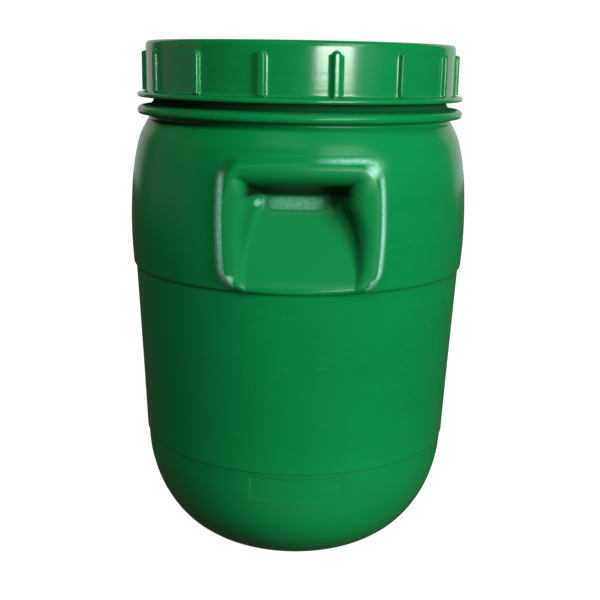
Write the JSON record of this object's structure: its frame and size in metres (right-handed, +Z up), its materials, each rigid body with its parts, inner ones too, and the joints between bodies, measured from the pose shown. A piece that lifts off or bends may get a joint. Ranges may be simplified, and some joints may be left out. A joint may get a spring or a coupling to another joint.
{
  "type": "screw-lid plastic drum",
  "caption": "Blow-moulded plastic drum with a ribbed screw lid, a sealing inner lid and a moulded hand grip on each side.",
  "frame": {"origin": "centre of the base, on the floor", "axes": "+Z up the drum's axis, -Y towards the hand grip at the front, +X to that grip's right as it is faced"},
  "size_m": [0.379, 0.3764, 0.562],
  "materials": {
    "green_plastic": "satin blow-moulded polyethylene",
    "natural_plastic": "satin natural polyethylene",
    "white_foam": "matt closed-cell polyethylene foam",
    "black_rubber": "matt black rubber"
  },
  "bodies": {
    "drum": {"drum_body": "green_plastic"},
    "inner_closure": {"inner_lid": "natural_plastic", "mouth_gasket": "black_rubber"},
    "liner": {"lid_liner": "white_foam"},
    "lid": {"screw_lid": "green_plastic"}
  },
  "joints": [
    {"name": "closure_lift", "type": "slide", "parent": "drum", "child": "inner_closure", "axis": [0, 0, 1], "range_m": [0, 0.35]},
    {"name": "lid_rise", "type": "slide", "parent": "inner_closure", "child": "liner", "axis": [0, 0, 1], "range_m": [0, 0.0211]},
    {"name": "lid_turn", "type": "hinge", "parent": "liner", "child": "lid", "pos_m": [0, 0, 0.5], "axis": [0, 0, 1], "range_deg": [0, 630]}
  ],
  "couplings": [
    {"joint": "lid_rise", "follows": "lid_turn", "m_per_rad": 0.0019099}
  ]
}
